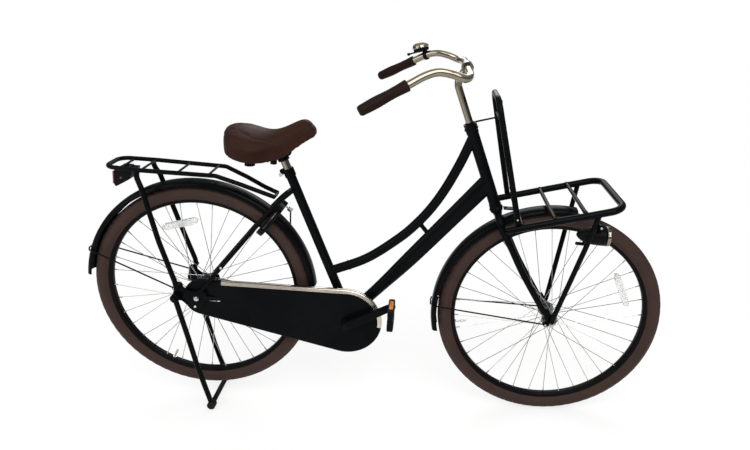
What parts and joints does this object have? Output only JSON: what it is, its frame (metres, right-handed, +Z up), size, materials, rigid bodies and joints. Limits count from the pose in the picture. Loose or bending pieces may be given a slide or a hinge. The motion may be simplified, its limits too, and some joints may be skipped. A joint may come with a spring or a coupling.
{
  "type": "city bicycle",
  "caption": "Low-step city bicycle on a two-leg stand, with a transport rack and luggage hoop over the front wheel, a slim rear rack, fenders, a chain case, lamps and a ring lock.",
  "frame": {"origin": "on the ground, below the middle of the whole bicycle's box", "axes": "+X the way the bicycle rides, +Y to the rider's left, +Z up; the bicycle stands on its stand, nose down by about 2.9 degrees"},
  "size_m": [1.8602, 0.616, 1.1923],
  "materials": {
    "black_paint": "gloss black enamel with fine wear at the edges",
    "rim_black": "satin black",
    "bright_steel": "bright zinc-plated steel",
    "warm_nickel": "polished nickel with a warm tint",
    "tyre": "matt brown rubber with a fine tread",
    "leather": "dark brown smooth leather",
    "grip": "dark brown grained grip",
    "black_plastic": "moulded black plastic, satin",
    "red_lens": "red translucent lens",
    "clear_lens": "clear ribbed lens",
    "rubber": "black rubber"
  },
  "bodies": {
    "frame": {"main_frame": "black_paint", "rear_stays": "black_paint", "headset_lower_cup": "black_paint", "headset_upper_cup": "black_paint", "bottom_bracket_cartridge": "bright_steel", "chain": "bright_steel", "chain_case": "black_paint", "chain_case_trim": "warm_nickel", "rear_axle": "bright_steel", "coaster_brake_arm": "bright_steel", "rear_fender": "black_paint", "rear_fender_stays": "black_paint", "rear_rack": "black_paint", "tail_lamp_housing": "black_plastic", "tail_lamp_lens": "red_lens", "ring_lock": "black_plastic", "seat_clamp_bolt": "bright_steel"},
    "steering": {"fork": "black_paint", "front_axle": "bright_steel", "headset_locknut": "black_paint", "hoop_brace": "black_paint", "front_rack": "black_paint", "front_hoop": "black_paint", "luggage_straps": "rubber", "front_fender": "black_paint", "front_fender_stays": "black_paint", "head_lamp_housing": "black_plastic", "head_lamp_ring": "warm_nickel", "head_lamp_lens": "clear_lens", "head_lamp_bracket": "black_paint"},
    "handlebar_assembly": {"stem": "warm_nickel", "stem_bolt": "bright_steel", "handlebar": "warm_nickel", "grip_left": "grip", "grip_right": "grip", "bell_base": "black_plastic", "bell_dome": "bright_steel"},
    "bell_lever": {"bell_lever": "black_plastic"},
    "front_wheel": {"front_hub": "bright_steel", "front_rim": "rim_black", "front_tyre": "tyre", "front_reflector": "clear_lens"},
    "rear_wheel": {"rear_hub": "bright_steel", "rear_rim": "rim_black", "rear_tyre": "tyre", "rear_reflector": "clear_lens"},
    "crank": {"crankset": "black_paint", "crank_left": "black_paint"},
    "pedal_right": {"pedal_right": "rubber"},
    "pedal_left": {"pedal_left": "rubber"},
    "sprocket": {"rear_sprocket": "bright_steel"},
    "seat": {"seat_post": "warm_nickel", "saddle_clamp": "black_paint", "saddle_rails": "black_paint", "saddle_cushion": "leather"},
    "stand": {"stand": "black_paint"},
    "lock_bolt": {"ring_lock_bolt": "bright_steel"},
    "lock_key": {"ring_lock_key": "bright_steel"}
  },
  "joints": [
    {"name": "steering_turn", "type": "hinge", "parent": "frame", "child": "steering", "pos_m": [0.38243, 0, 0.72743], "axis": [-0.3313, 0, 0.9435], "range_deg": [-60, 60]},
    {"name": "stem_height", "type": "slide", "parent": "steering", "child": "handlebar_assembly", "axis": [-0.3313, 0, 0.9435], "range_m": [0, 0.04]},
    {"name": "bell_lever_push", "type": "hinge", "parent": "handlebar_assembly", "child": "bell_lever", "pos_m": [0.12933, 0.2453, 1.16073], "axis": [-0.252, 0.0999, 0.9626], "range_deg": [0, 25], "stiffness_Nm_per_rad": 0.05},
    {"name": "front_wheel_spin", "type": "hinge", "parent": "steering", "child": "front_wheel", "pos_m": [0.57264, 0, 0.3575], "axis": [0, 1, 0], "continuous": true},
    {"name": "rear_wheel_spin", "type": "hinge", "parent": "frame", "child": "rear_wheel", "pos_m": [-0.55426, 0, 0.4137], "axis": [0, 1, 0], "continuous": true},
    {"name": "crank_spin", "type": "hinge", "parent": "frame", "child": "crank", "pos_m": [-0.07667, 0, 0.33331], "axis": [0, 1, 0], "continuous": true},
    {"name": "pedal_right_spin", "type": "hinge", "parent": "crank", "child": "pedal_right", "pos_m": [0.07042, -0.125, 0.40808], "axis": [0, 1, 0], "continuous": true},
    {"name": "pedal_left_spin", "type": "hinge", "parent": "crank", "child": "pedal_left", "pos_m": [-0.22376, 0.125, 0.25854], "axis": [0, 1, 0], "continuous": true},
    {"name": "sprocket_spin", "type": "hinge", "parent": "frame", "child": "sprocket", "pos_m": [-0.55426, -0.0445, 0.4137], "axis": [0, 1, 0], "continuous": true},
    {"name": "seat_height", "type": "slide", "parent": "frame", "child": "seat", "axis": [-0.3354, 0, 0.9421], "range_m": [-0.02, 0.12]},
    {"name": "stand_fold", "type": "hinge", "parent": "frame", "child": "stand", "pos_m": [-0.62018, 0, 0.41699], "axis": [0, 1, 0], "range_deg": [0, 100]},
    {"name": "lock_bolt_turn", "type": "hinge", "parent": "frame", "child": "lock_bolt", "pos_m": [-0.33132, 0, 0.677], "axis": [0.7632, 0, -0.6462], "range_deg": [0, 70]},
    {"name": "lock_key_turn", "type": "hinge", "parent": "frame", "child": "lock_key", "pos_m": [-0.28573, 0.036, 0.70391], "axis": [0.7632, 0, -0.6462], "range_deg": [0, 90]}
  ],
  "couplings": [
    {"joint": "sprocket_spin", "follows": "crank_spin", "ratio": 2}
  ]
}
